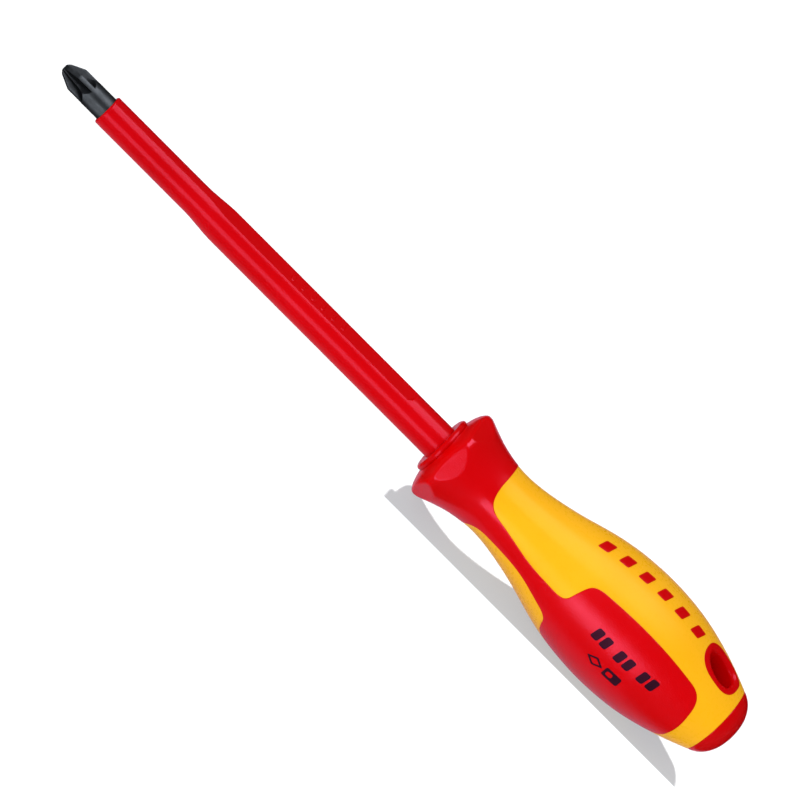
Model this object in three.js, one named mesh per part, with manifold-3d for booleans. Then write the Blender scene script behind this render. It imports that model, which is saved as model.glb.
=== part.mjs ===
// Insulated screwdriver with a cross tip, in millimetres.
// +X runs from the tip to the butt and the origin is the centre of the tip's flat end. A place on the
// handle is given by x, the radius r and the angle a round the axis: a = 0 faces -Y and is the middle of
// one soft pad, and a = 90 degrees faces +Z, where the hanging hole opens.

import * as THREE from 'three';
import { mergeVertices } from 'three/addons/utils/BufferGeometryUtils.js';
import Module from 'manifold-3d';

const wasm = await Module();
wasm.setup();

// ---- Driving dimensions ----------------------------------------------------------------------------

const SEGMENTS = 36; // facets round the axis, the same on every turned face
const GAP = 0.3; // between moulded pieces
const FIT = 0.15; // between the blade, its insulation and the core, whose facets line up
const FAR = 60; // further out than any face of the object

const BLADE_R = 3.9;
const TIP_FLAT_R = 1.5;
const TIP_CONE_END = 5.0;
const WING_HALF_THICKNESS = 0.65;
const WING_ANGLE = 55.5; // degrees round the axis to the middle of the first of the four wings
const FLUTE_END = 10.3;

const TANG_END = 238;
const TANG_WING = { front: 203, rear: 229, slope: 5, half_width: 6.3, half_thickness: 1.2 };

const SLEEVE_FRONT = 16.9;
const SLEEVE_END = 196;
const SLEEVE_SLIM_R = 4.9;
const SLEEVE_R = 5.6;
const SLEEVE_SWELL = [52.7, 64.7]; // where the sleeve grows from slim to full
const SLEEVE_EDGE = 0.6;
const SLEEVE_RING = { x: 166, length: 4, r: 6.6 };
const SLEEVE_FLAT = { start: 50, end: 137, height: 4.88, half_width: 3, corner: 2.3 };
const TICKS = { first: 88, pitch: 4, count: 6, length: 0.9, half_width: 1.4, proud: 0.2 };

const COLLAR = { front: 151.4, rear: 152.8, r: 9.5, edge: 1.1 };
const CORE_END = 262.2;
const CORE_STATIONS = [[152.8, 8.4], [176, 8.2], [200, 11.5], [226, 15.6], [250, 12.2], [CORE_END, 9.3]];
const CORE_KEY = { front: 186, rear: 238, half_width: 1.5, height: 1.3 };

const HANDLE_FRONT = 153.1;
const HANDLE_STATIONS = [
  [HANDLE_FRONT, 9.3], [153.8, 10.5], [154.4, 12.3], [155, 13.75], [155.6, 14.75], [156.7, 15.42],
  [158.5, 14.95], [161.3, 13.9], [166.4, 12.25], [170.5, 11.4], [176, 11.0], [181.8, 11.5], [188.7, 12.7],
  [195.6, 14.3], [202.4, 16.3], [209.3, 18.0], [216.1, 19.0], [226.5, 19.6], [235, 19.2], [241.9, 18.3],
  [248.7, 16.7], [256, 14.5], [264, 11.35],
];
const FLANGE_FLAT = { count: 6, first: 30, height: 14.1, front: 154, rear: 164 };

const SHELL_FRONT = 171.8;
const STRIP_OVERLAP = 4; // how far the strips' outline starts inside the neck
const SHELL_END = 264;
const BUTT = 270;
const BUTT_FLAT_R = 2.5;
const BUTT_PULL = [[267.3, 10.0], [269.5, 6.9]]; // control points of the rounding from shell to butt
const SPIGOT_R = 9.3;

const HOLE_X = 253.3;
const HOLE = { half_length: 5.3, half_width: 3.7 };
const LINER = { half_length: 7.45, half_width: 6.1, proud: 0.2 };

const MARK = { first: 202.9, pitch: 7.08, count: 6, length: 3.5, height: 4.4, slant: 1.3, depth: 1.1 };

// ---- Solids and meshes -----------------------------------------------------------------------------

function toSolid(geometry) {
  const bare = geometry.clone();
  bare.deleteAttribute('normal');
  bare.deleteAttribute('uv');
  const merged = mergeVertices(bare, 1e-4);
  const index = merged.index.array;
  const triangles = [];
  for (let i = 0; i < index.length; i += 3) {
    const [a, b, c] = [index[i], index[i + 1], index[i + 2]];
    if (a !== b && b !== c && c !== a) triangles.push(a, b, c);
  }
  const solid = new wasm.Manifold(new wasm.Mesh({
    numProp: 3,
    vertProperties: new Float32Array(merged.attributes.position.array),
    triVerts: new Uint32Array(triangles),
  }));
  if (solid.volume() < 0) throw new Error('a solid is inside out');
  return solid;
}

function toMesh(name, solid, material) {
  const { numProp, vertProperties, triVerts } = solid.getMesh();
  const count = vertProperties.length / numProp;
  const positions = new Float32Array(count * 3);
  for (let i = 0; i < count; i += 1) {
    for (let axis = 0; axis < 3; axis += 1) positions[3 * i + axis] = vertProperties[numProp * i + axis];
  }
  const geometry = new THREE.BufferGeometry();
  geometry.setAttribute('position', new THREE.BufferAttribute(positions, 3));
  geometry.setIndex(new THREE.BufferAttribute(new Uint32Array(triVerts), 1));
  geometry.computeVertexNormals();
  const mesh = new THREE.Mesh(geometry, material);
  mesh.name = name;
  return mesh;
}

// A solid of revolution about X, from [x, r] points that start and end on the axis.
function turned(points) {
  const profile = points.map(([x, r]) => new THREE.Vector2(r, x));
  const geometry = new THREE.LatheGeometry(profile, SEGMENTS);
  geometry.rotateZ(-Math.PI / 2);
  return toSolid(geometry);
}

function box(low, high) {
  const size = high.map((value, axis) => value - low[axis]);
  const geometry = new THREE.BoxGeometry(...size);
  geometry.translate(...low.map((value, axis) => value + size[axis] / 2));
  return toSolid(geometry);
}

// A flat outline in X and Y, extruded along Z from low to high.
function slab(shape, low, high, curveSegments = 4) {
  const options = { depth: high - low, bevelEnabled: false, curveSegments };
  const geometry = new THREE.ExtrudeGeometry(shape, options);
  geometry.translate(0, 0, low);
  return toSolid(geometry);
}

// The solid's twin on the other side of the axis, half a turn round X.
const opposite = (solid) => solid.rotate([180, 0, 0]);

// ---- Radii along the axis --------------------------------------------------------------------------

// A smooth radius through [x, r] stations that never overshoots them.
function smoothRadius(stations, x) {
  const last = stations.length - 2;
  let i = 0;
  while (i < last && x > stations[i + 1][0]) i += 1;
  const slope = (j) => (stations[j + 1][1] - stations[j][1]) / (stations[j + 1][0] - stations[j][0]);
  const tangent = (j) => {
    if (j === 0) return slope(0);
    if (j > last) return slope(last);
    const [before, after] = [slope(j - 1), slope(j)];
    return before * after <= 0 ? 0 : (2 * before * after) / (before + after);
  };
  const [x0, r0] = stations[i];
  const [x1, r1] = stations[i + 1];
  const h = x1 - x0;
  const t = (x - x0) / h;
  const rise = t * t * (3 - 2 * t);
  return r0 + (r1 - r0) * rise + h * t * (1 - t) * (tangent(i) * (1 - t) - tangent(i + 1) * t);
}

const handleRadius = (x) => smoothRadius(HANDLE_STATIONS, x);
const coreRadius = (x) => smoothRadius(CORE_STATIONS, x);

// [x, r] points of a radius from one x to another, in equal steps no longer than step.
function sampled(radius, from, to, step) {
  const count = Math.ceil((to - from) / step);
  return Array.from({ length: count + 1 }, (_, i) => {
    const x = from + ((to - from) * i) / count;
    return [x, radius(x)];
  });
}

// [x, r] points of a front edge rounded by size.
function roundedEdge(x, r, size) {
  const shoulder = size * (1 - Math.SQRT1_2);
  return [[x, r - size], [x + shoulder, r - shoulder], [x + size, r]];
}

// ---- The blade -------------------------------------------------------------------------------------

// One V-shaped flute between two wings. Its corner line climbs out of the bar as it runs back.
function flute() {
  const root = WING_HALF_THICKNESS * Math.SQRT2;
  const stations = [
    [-1, root], [TIP_CONE_END, root * 1.6], [FLUTE_END, BLADE_R + 0.1], [FLUTE_END + 1, BLADE_R + 1],
  ];
  const positions = [];
  const index = [];
  for (const [x, corner] of stations) {
    positions.push(x, corner, 0, x, corner + BLADE_R * 2, BLADE_R * 2, x, corner + BLADE_R * 2, -BLADE_R * 2);
  }
  for (let i = 0; i + 1 < stations.length; i += 1) {
    for (let side = 0; side < 3; side += 1) {
      const [a, b] = [3 * i + side, 3 * i + ((side + 1) % 3)];
      index.push(a, b + 3, b, a, a + 3, b + 3);
    }
  }
  const rear = 3 * (stations.length - 1);
  index.push(0, 1, 2, rear, rear + 2, rear + 1);
  const geometry = new THREE.BufferGeometry();
  geometry.setAttribute('position', new THREE.Float32BufferAttribute(positions, 3));
  geometry.setIndex(index);
  return toSolid(geometry);
}

// The two flat wings forged out of the tang, which stop the blade turning in the handle.
function tangWings(clearance) {
  const { front, rear, slope, half_width: width, half_thickness: thickness } = TANG_WING;
  const shape = new THREE.Shape([
    new THREE.Vector2(front - clearance, 0),
    new THREE.Vector2(front + slope - clearance, width + clearance),
    new THREE.Vector2(rear - slope + clearance, width + clearance),
    new THREE.Vector2(rear + clearance, 0),
    new THREE.Vector2(rear - slope + clearance, -width - clearance),
    new THREE.Vector2(front + slope - clearance, -width - clearance),
  ]);
  return slab(shape, -thickness - clearance, thickness + clearance);
}

function bladeBar(clearance, front) {
  const r = BLADE_R + clearance;
  const end = TANG_END + clearance;
  return turned([[front, 0], [front, r], [end - 1, r], [end, r - 1], [end, 0]]).add(tangWings(clearance));
}

function blade() {
  const point = turned([
    [0, 0], [0, TIP_FLAT_R], [TIP_CONE_END, BLADE_R], [TIP_CONE_END + 20, BLADE_R], [TIP_CONE_END + 20, 0],
  ]);
  let solid = point.add(bladeBar(0, TIP_CONE_END + 10));
  const firstFlute = 180 - (WING_ANGLE + 45); // from +Y, where flute() makes it, halfway between two wings
  for (let quarter = 0; quarter < 4; quarter += 1) {
    solid = solid.subtract(flute().rotate([firstFlute + 90 * quarter, 0, 0]));
  }
  return solid;
}

// ---- The blade's insulation ------------------------------------------------------------------------

function sleeveBody(clearance) {
  const { x, length, r } = SLEEVE_RING;
  const [swellStart, swellEnd] = SLEEVE_SWELL;
  const slim = SLEEVE_SLIM_R + clearance;
  const full = SLEEVE_R + clearance;
  const stations = [[swellStart - 1, slim], [swellStart, slim], [swellEnd, full], [swellEnd + 1, full]];
  return turned([
    [SLEEVE_FRONT, 0],
    ...roundedEdge(SLEEVE_FRONT, slim, SLEEVE_EDGE),
    ...sampled((at) => smoothRadius(stations, at), swellStart, swellEnd, 3),
    [x - clearance, full],
    [x - clearance, r + clearance],
    [x + length + clearance, r + clearance],
    [x + length + clearance, full],
    [SLEEVE_END + clearance, full],
    [SLEEVE_END + clearance, 0],
  ]);
}

// Outline of the long flat: its rear end has round corners.
function flatOutline() {
  const { start, end, half_width: width, corner } = SLEEVE_FLAT;
  const shape = new THREE.Shape();
  shape.moveTo(start, -width);
  shape.lineTo(end - corner, -width);
  shape.absarc(end - corner, -width + corner, corner, -Math.PI / 2, 0, false);
  shape.absarc(end - corner, width - corner, corner, 0, Math.PI / 2, false);
  shape.lineTo(start, width);
  return shape;
}

function bladeInsulation() {
  const boreRadius = BLADE_R + FIT;
  const boreEnds = [SLEEVE_FRONT - 5, SLEEVE_END + 5];
  const bore = turned([
    [boreEnds[0], 0], [boreEnds[0], boreRadius], [boreEnds[1], boreRadius], [boreEnds[1], 0],
  ]);
  const flat = slab(flatOutline(), SLEEVE_FLAT.height, SLEEVE_R + 2);
  let solid = sleeveBody(0).subtract(bore).subtract(flat).subtract(opposite(flat));
  for (let i = 0; i < TICKS.count; i += 1) {
    const x = TICKS.first + TICKS.pitch * i;
    const tick = box(
      [x, -TICKS.half_width, SLEEVE_FLAT.height - 0.3],
      [x + TICKS.length, TICKS.half_width, SLEEVE_FLAT.height + TICKS.proud],
    );
    solid = solid.add(tick).add(opposite(tick));
  }
  return solid;
}

// ---- The handle ------------------------------------------------------------------------------------

// The handle's outer shape, grown outward by proud, from the flange to the rear of the shell.
function envelope(proud) {
  const fine = HANDLE_STATIONS.filter(([x]) => x < 160).map(([x, r]) => [x, r + proud]);
  const rest = sampled((x) => handleRadius(x) + proud, 161.3, SHELL_END, 6);
  let solid = turned([[HANDLE_FRONT, 0], ...fine, ...rest, [SHELL_END, 0]]);
  for (let i = 0; i < FLANGE_FLAT.count; i += 1) {
    const cut = box(
      [FLANGE_FLAT.front, -FAR, FLANGE_FLAT.height + proud],
      [FLANGE_FLAT.rear, FAR, FAR],
    );
    solid = solid.subtract(cut.rotate([90 - FLANGE_FLAT.first - (360 / FLANGE_FLAT.count) * i, 0, 0]));
  }
  return solid;
}

// An elliptical column along Z at the hanging hole.
function holeColumn(halfLength, halfWidth) {
  const shape = new THREE.Shape();
  shape.absellipse(HOLE_X, 0, halfLength, halfWidth, 0, Math.PI * 2, false, 0);
  return slab(shape, -FAR, FAR, 14);
}

// The core's outside. Its two keys, on +Z and -Z, hold the shell from turning.
function coreBody(clearance) {
  const { front, rear, r, edge } = COLLAR;
  const body = turned([
    [front, 0], ...roundedEdge(front, r, edge), [rear, r],
    ...sampled((x) => coreRadius(x) + clearance, rear, CORE_END + clearance, 7), [CORE_END + clearance, 0],
  ]);
  const keyEnvelope = turned([
    [CORE_KEY.front - clearance, 0],
    ...sampled((x) => coreRadius(x) + CORE_KEY.height + clearance,
      CORE_KEY.front - clearance, CORE_KEY.rear + clearance, 13),
    [CORE_KEY.rear + clearance, 0],
  ]);
  const half = CORE_KEY.half_width + clearance;
  return body.add(keyEnvelope.intersect(box([0, -half, -FAR], [BUTT, half, FAR])));
}

function handleCore() {
  return coreBody(0)
    .subtract(sleeveBody(FIT))
    .subtract(bladeBar(FIT, SLEEVE_END - 5))
    .subtract(holeColumn(LINER.half_length + GAP, LINER.half_width + GAP));
}

// Half the edge of a soft pad and the strip that joins it to the neck, as [x, angle in degrees].
function gripEdge() {
  const path = new THREE.Path();
  path.moveTo(SHELL_FRONT - STRIP_OVERLAP, 60);
  path.lineTo(SHELL_FRONT, 60);
  path.bezierCurveTo(172.2, 36, 173.4, 21.8, 178.6, 18.6);
  path.splineThru([[188.3, 12.1], [194.3, 10.6], [203.6, 13.4]].map(([x, a]) => new THREE.Vector2(x, a)));
  path.bezierCurveTo(206, 14.6, 207.2, 17, 207.6, 25.5);
  path.lineTo(208.6, 36);
  path.bezierCurveTo(209.4, 43.5, 210.4, 47, 215.2, 47.4);
  path.bezierCurveTo(228, 49.4, 238, 49.4, 249.6, 45.7);
  path.bezierCurveTo(252.9, 44.5, 254.4, 38, 255.1, 27);
  path.quadraticCurveTo(255.8, 12, 255.9, 0);
  return path.getPoints(4);
}

// A closed solid over the pad's outline, moved outward by margin, with radial walls through the handle.
function gripBlock(margin) {
  const half = gripEdge();
  const mirrored = half.slice(0, -1).reverse().map(({ x, y }) => new THREE.Vector2(x, -y));
  const degrees = Math.PI / 180;
  const outline = [...half, ...mirrored].reverse()
    .map(({ x, y }) => new THREE.Vector2(x, y * degrees * handleRadius(x)));
  const count = outline.length;
  const moved = outline.map((point, i) => {
    const along = outline[(i + 1) % count].clone().sub(outline[(i + count - 1) % count]).normalize();
    return new THREE.Vector2(point.x + along.y * margin, point.y - along.x * margin);
  });
  const positions = [];
  for (const r of [0.5, FAR]) {
    for (const { x, y } of moved) {
      const angle = y / handleRadius(x);
      positions.push(x, -r * Math.cos(angle), r * Math.sin(angle));
    }
  }
  const index = [];
  for (const [a, b, c] of THREE.ShapeUtils.triangulateShape(moved, [])) {
    index.push(a, c, b, a + count, b + count, c + count);
  }
  for (let i = 0; i < count; i += 1) {
    const next = (i + 1) % count;
    index.push(i, next, next + count, i, next + count, i + count);
  }
  const geometry = new THREE.BufferGeometry();
  geometry.setAttribute('position', new THREE.Float32BufferAttribute(positions, 3));
  geometry.setIndex(index);
  return toSolid(geometry);
}

// All the space of the soft grip: the neck in front of the shell, and a strip and pad on each side.
function gripSpace(margin) {
  const front = SHELL_FRONT + margin;
  const neck = turned([[HANDLE_FRONT - 5, 0], [HANDLE_FRONT - 5, FAR], [front, FAR], [front, 0]]);
  const block = gripBlock(margin);
  return neck.add(block).add(opposite(block));
}

// Everything between the core and the handle's outer face.
function overmoulding() {
  return envelope(0).subtract(coreBody(GAP));
}

function softGrip() {
  return overmoulding().intersect(gripSpace(-GAP / 2));
}

// The outline of one slanted bar, grown by clearance.
function markOutline(i, clearance) {
  const x = MARK.first + MARK.pitch * i;
  const half = MARK.height / 2 + clearance;
  const side = clearance * 1.1;
  return new THREE.Shape([
    new THREE.Vector2(x - side, -half),
    new THREE.Vector2(x + MARK.length + side, -half),
    new THREE.Vector2(x + MARK.length + MARK.slant + side, half),
    new THREE.Vector2(x + MARK.slant - side, half),
  ]);
}

function mark(i, clearance) {
  const middle = MARK.first + MARK.pitch * i + MARK.length / 2;
  const floor = handleRadius(middle) - MARK.depth - clearance;
  return slab(markOutline(i, clearance), floor, FAR);
}

function handleShell() {
  const rearFace = turned([[SHELL_END - GAP / 2, 0], [SHELL_END - GAP / 2, FAR], [BUTT, FAR], [BUTT, 0]]);
  let solid = overmoulding()
    .subtract(gripSpace(GAP / 2))
    .subtract(rearFace)
    .subtract(turned([[CORE_END - 1, 0], [CORE_END - 1, SPIGOT_R + GAP], [BUTT, SPIGOT_R + GAP], [BUTT, 0]]))
    .subtract(holeColumn(LINER.half_length + GAP, LINER.half_width + GAP));
  for (let i = 0; i < MARK.count; i += 1) {
    const pocket = mark(i, GAP);
    solid = solid.subtract(pocket).subtract(opposite(pocket));
  }
  return solid;
}

function hangingHoleLiner() {
  return envelope(LINER.proud)
    .intersect(holeColumn(LINER.half_length, LINER.half_width))
    .subtract(holeColumn(HOLE.half_length, HOLE.half_width));
}

function endCap() {
  const start = SHELL_END + GAP / 2;
  const rounding = new THREE.CubicBezierCurve(
    new THREE.Vector2(start, handleRadius(SHELL_END)),
    new THREE.Vector2(...BUTT_PULL[0]),
    new THREE.Vector2(...BUTT_PULL[1]),
    new THREE.Vector2(BUTT, BUTT_FLAT_R),
  ).getPoints(7).map(({ x, y }) => [x, y]);
  return turned([[CORE_END + GAP, 0], [CORE_END + GAP, SPIGOT_R], [start, SPIGOT_R], ...rounding, [BUTT, 0]]);
}

// ---- Materials -------------------------------------------------------------------------------------

function finish(color, roughness, metalness) {
  return new THREE.MeshStandardMaterial({ color, roughness, metalness });
}

const blackenedSteel = finish(0x32383e, 0.45, 0.8);
const redSleeve = finish(0xd8000f, 0.35, 0);
const redHard = finish(0xc4000c, 0.4, 0);
const redSoft = finish(0xcc0009, 0.65, 0);
const yellowHard = finish(0xfec426, 0.45, 0);

// ---- The assembly ----------------------------------------------------------------------------------

const screwdriver = new THREE.Group();
screwdriver.add(
  toMesh('blade', blade(), blackenedSteel),
  toMesh('blade_insulation', bladeInsulation(), redSleeve),
  toMesh('handle_core', handleCore(), redHard),
  toMesh('handle_shell', handleShell(), yellowHard),
  toMesh('soft_grip', softGrip(), redSoft),
  toMesh('end_cap', endCap(), redHard),
  toMesh('hanging_hole_liner', hangingHoleLiner(), redHard),
);
for (let i = 0; i < MARK.count; i += 1) {
  const bar = envelope(LINER.proud).intersect(mark(i, 0));
  screwdriver.add(
    toMesh(`upper_inlay_${i + 1}`, bar, redHard),
    toMesh(`lower_inlay_${i + 1}`, opposite(bar), redHard),
  );
}

export default screwdriver;
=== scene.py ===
import math

import bmesh
import bpy
import numpy as np
from mathutils import Matrix, Vector
from mathutils.geometry import delaunay_2d_cdt
from mathutils.kdtree import KDTree


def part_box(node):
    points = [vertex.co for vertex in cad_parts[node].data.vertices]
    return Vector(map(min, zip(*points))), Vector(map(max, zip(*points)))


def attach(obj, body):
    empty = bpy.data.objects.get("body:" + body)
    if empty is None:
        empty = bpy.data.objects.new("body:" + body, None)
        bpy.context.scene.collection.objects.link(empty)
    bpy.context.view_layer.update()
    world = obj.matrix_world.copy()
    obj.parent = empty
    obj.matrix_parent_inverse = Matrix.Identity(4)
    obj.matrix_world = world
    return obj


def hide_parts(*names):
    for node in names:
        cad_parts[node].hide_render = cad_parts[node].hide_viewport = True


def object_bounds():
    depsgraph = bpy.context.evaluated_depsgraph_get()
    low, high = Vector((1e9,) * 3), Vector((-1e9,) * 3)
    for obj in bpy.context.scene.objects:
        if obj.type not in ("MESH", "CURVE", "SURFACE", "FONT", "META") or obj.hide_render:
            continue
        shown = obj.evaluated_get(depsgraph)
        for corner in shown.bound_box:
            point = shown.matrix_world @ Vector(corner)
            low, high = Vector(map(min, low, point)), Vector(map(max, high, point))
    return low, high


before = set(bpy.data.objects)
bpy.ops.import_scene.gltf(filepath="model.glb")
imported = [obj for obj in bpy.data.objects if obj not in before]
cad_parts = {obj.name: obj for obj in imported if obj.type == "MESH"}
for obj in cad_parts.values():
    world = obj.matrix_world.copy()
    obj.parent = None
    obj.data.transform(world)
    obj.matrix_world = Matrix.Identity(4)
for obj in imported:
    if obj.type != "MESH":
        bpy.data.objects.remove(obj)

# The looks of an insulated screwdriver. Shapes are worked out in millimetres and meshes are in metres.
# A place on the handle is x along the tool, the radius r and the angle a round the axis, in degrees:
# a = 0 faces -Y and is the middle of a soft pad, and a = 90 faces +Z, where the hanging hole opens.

CAD_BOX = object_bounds()
MM = 0.001


def node_span(node):
    """Where a CAD node starts and ends along the tool, in millimetres."""
    low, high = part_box(node)
    return low.x / MM, high.x / MM


# ---- Driving dimensions, in millimetres ------------------------------------------------------------

GAP = 0.3
SLEEVE_FRONT, SLEEVE_END = node_span("blade_insulation")
TANG_END = node_span("blade")[1]
COLLAR_FRONT, CORE_END = node_span("handle_core")
BUTT = node_span("end_cap")[1]
SHELL_END = node_span("handle_shell")[1] + GAP / 2

BLADE_R = 3.9
TIP_FLAT_R = 1.5
NOSE_R = 0.95  # flat middle of the end, inside its worn edge
NOSE_SLOPE = 1.2  # how fast the worn edge widens
TIP_CONE_END = 5.0
WING_HALF_THICKNESS = 0.65
WING_ANGLE = 55.5
FLUTE_END = 10.3
FLUTE_FLOOR = {"start": 1.05, "slope": 0.145, "run_out": 5.4, "cutter_r": 6.0}
BORE_CLEARANCE = 0.08
TANG_WINGS = {"start": 203, "full": 208, "fade": 224, "end": 229, "wider": 0.62, "thinner": 0.69}

SLEEVE_SLIM_R = 4.9
SLEEVE_R = 5.6
SLEEVE_EDGE = 0.6  # rounding of the front edge
SLEEVE_SWELL = (52.7, 64.7)
SLEEVE_PAINTED_SHADE = (40.0, 95.0)  # where the painted shade that darkens the slim front towards the tip fades out
SLEEVE_FLAT_HEIGHT = 4.88
SLEEVE_FLAT_END = 137.0
SLEEVE_FLAT_CORNER = 2.3
SLEEVE_FLAT_HALF_WIDTH = 3.0
SLEEVE_SOFT = {"flat": 0.26, "flat_end": 0.16, "tick_end": 0.08, "tick_side": 0.1}
TICKS = {"first": 88.0, "pitch": 4.0, "count": 6, "length": 0.9, "half_width": 1.4, "proud": 0.14}

COLLAR = {"crown": 152.4, "r": 9.5, "edge": 1.3, "rear_rounding": 1.54}
HANDLE_STATIONS = [  # (x, r) of the handle's outline from the guard to the butt
    (153.1, 9.3), (153.25, 9.9), (153.45, 10.7), (153.75, 11.8), (154.2, 13.05), (154.65, 14.0),
    (155.15, 14.8), (155.7, 15.25), (156.4, 15.43), (157.5, 15.3), (158.5, 14.95), (161.3, 13.9),
    (166.4, 12.25), (170.5, 11.4), (176, 11.0), (181.8, 11.5), (188.7, 12.7), (195.6, 14.3),
    (202.4, 16.3), (209.3, 18.0), (216.1, 19.0), (226.5, 19.6), (235, 19.2), (241.9, 18.3),
    (248.7, 16.7), (256, 14.5), (264, 11.35),
]
HANDLE_FRONT = HANDLE_STATIONS[0][0]
EVENED_FROM = (162.0, 170.0)  # where the outline changes from exact stations to even curvature
EVENED_OVER = 2.6
FLANGE_END = 166.0
FLANGE_FLAT = {"first": 30.0, "pitch": 60.0, "height": 14.1}
FLANGE_SOFT = (1.6, 0.25)  # rounding between a flat and the guard, in front of its crest and behind it
FLANGE_CREST = (154.6, 156.2)
SHELL_FRONT = 171.8
TONGUE_EDGE = 60.0  # the angle at which the yellow tongue's front end meets its side
SEAM_BOW = 0.65  # how far the cap's joint bows towards the butt on the side in view and on the far side
BUTT_FLAT_R = 2.5
BUTT_PULL = ((267.3, 10.0), (269.5, 6.9))  # what the butt's curve leans towards
CAP_SUNK = 0.06  # how far the cap lies below the shell beside it
CAP_LIP = ((0.0, 0.19), (0.03, 0.08), (0.1, 0.01), (0.2, 0.0))  # (distance from the joint, drop)
SPIGOT_R = 9.0

HOLE_X = 253.3
HOLE_HALF = (5.3, 3.7)
HOLE_POWERS = (2.0, 2.7)  # how square the hole is towards the tip and towards the butt
HOLE_LEAN = 0.1  # how much the oval rises towards the butt, sideways per length
BEZEL_HALF = (7.6, 6.25)
BEZEL_POWERS = (2.4, 2.9)
BEZEL_ROLL = 1.5  # the radius by which the rim rolls into the hole
LINER_SKIRT = 3.0  # how deep the liner's outside goes below the surface
LINER_CORE = 4.0  # half the height of the straight middle of the hole

INLAY = {
    "first": 202.9, "pitch": 7.08, "count": 6, "length": 3.5, "height": 4.4, "slant": 1.3, "angle": 88.0,
    "corner": 0.5, "proud": 0.06, "depth": 0.9,
}
PRINT_BLOCK = {
    "first": 218.7, "pair_pitch": 8.95, "pitch": 3.4, "width": 2.6, "height": 3.9, "slant": 0.6,
    "low": 4.0, "corner": 0.7,
}
PRINT_ICONS = -0.8  # the middle of the lozenge and the bar, along the girth
PRINT_PROUD = 0.02  # how far a print stands above the pad
PRINT_DEPTH = 0.03  # how far it goes into the pad

SEAM = 0.012  # half the width of the fine joint between two moulded materials
PAD_PROUD = 0.1
GRAINED_FROM = (180.0, 200.0)  # where the soft moulding's grain fades in, behind the smooth neck
SKIN = 1.2  # thickness given to the outer mouldings
ROW_PITCH = 0.866  # between rows of equilateral triangles of side 1
CLEAR_OF_EDGES = 0.55  # of a triangle's side: how far a panel's inner points stay from its edges


# ---- Small helpers ---------------------------------------------------------------------------------


def smoothstep(low, high, value):
    t = np.clip((np.asarray(value, float) - low) / (high - low), 0, 1)
    return t * t * (3 - 2 * t)


def soft_min(a, b, soft):
    """The lower of two heights, with the corner between them rounded over."""
    blend = np.clip(soft - np.abs(a - b), 0, None) / soft
    return np.minimum(a, b) - blend * blend * soft / 4


def bezier(p0, p1, p2, p3, count=24):
    t = np.linspace(0, 1, count)[:, None]
    p0, p1, p2, p3 = (np.array(p, float) for p in (p0, p1, p2, p3))
    return (1 - t) ** 3 * p0 + 3 * (1 - t) ** 2 * t * p1 + 3 * (1 - t) * t ** 2 * p2 + t ** 3 * p3


def through(points):
    """A smooth line through points (a Catmull-Rom curve)."""
    pts = np.array(points, float)
    padded = np.vstack([2 * pts[0] - pts[1], pts, 2 * pts[-1] - pts[-2]])
    pieces = []
    for a, b, c, d in zip(padded[:-3], padded[1:-2], padded[2:-1], padded[3:]):
        pieces.append(bezier(b, b + (c - a) / 6, c - (d - b) / 6, c, 12)[:-1])
    return np.vstack(pieces + [pts[-1:]])


def smooth_table(stations):
    """Dense (x, r) arrays through the stations, without overshoot, with even curvature behind the guard."""
    step = 0.05
    px, pr = np.array(stations, float).T
    slope = np.diff(pr) / np.diff(px)
    before, after = slope[:-1], slope[1:]
    same_way = before * after > 0
    middle = np.where(same_way, 2 * before * after / np.where(same_way, before + after, 1), 0)
    tangent = np.concatenate([slope[:1], middle, slope[-1:]])
    x = np.arange(px[0], px[-1] + step / 2, step)
    i = np.clip(np.searchsorted(px, x) - 1, 0, len(px) - 2)
    h = px[i + 1] - px[i]
    t = (x - px[i]) / h
    r = pr[i] + (pr[i + 1] - pr[i]) * t * t * (3 - 2 * t)
    r += h * t * (1 - t) * (tangent[i] * (1 - t) - tangent[i + 1] * t)
    half = int(3 * EVENED_OVER / step)
    kernel = np.exp(-0.5 * (np.arange(-half, half + 1) * step / EVENED_OVER) ** 2)
    ends = np.arange(1, half + 1) * step
    padded = np.concatenate([(r[0] - slope[0] * ends)[::-1], r, r[-1] + slope[-1] * ends])
    even = np.convolve(padded, kernel / kernel.sum(), "valid")
    weight = smoothstep(*EVENED_FROM, x)
    return x, r * (1 - weight) + even * weight


HANDLE_TABLE = smooth_table(HANDLE_STATIONS)


def handle_radius(x):
    return np.interp(x, *HANDLE_TABLE)


def handle_surface(x, angle):
    """The handle's radius at x and angle, with the guard's six flats cut into it."""
    r = handle_radius(x)
    pitch = FLANGE_FLAT["pitch"]
    off = (np.asarray(angle, float) - FLANGE_FLAT["first"] + pitch / 2) % pitch - pitch / 2
    plane = FLANGE_FLAT["height"] / np.cos(np.radians(off))
    before, behind = FLANGE_SOFT
    soft = before + (behind - before) * smoothstep(*FLANGE_CREST, x)
    return np.where(np.asarray(x) < FLANGE_END, soft_min(r, plane, soft), r)


def on_handle(x, angle, r):
    """Points in metres from x, angle and radius."""
    a = np.radians(angle)
    return np.stack([np.broadcast_to(x, np.shape(a)), -r * np.cos(a), r * np.sin(a)], -1) * MM


# ---- Meshes ----------------------------------------------------------------------------------------


def add_object(name, data):
    added = bpy.data.objects.new(name, data)
    bpy.context.scene.collection.objects.link(added)
    return added


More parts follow.
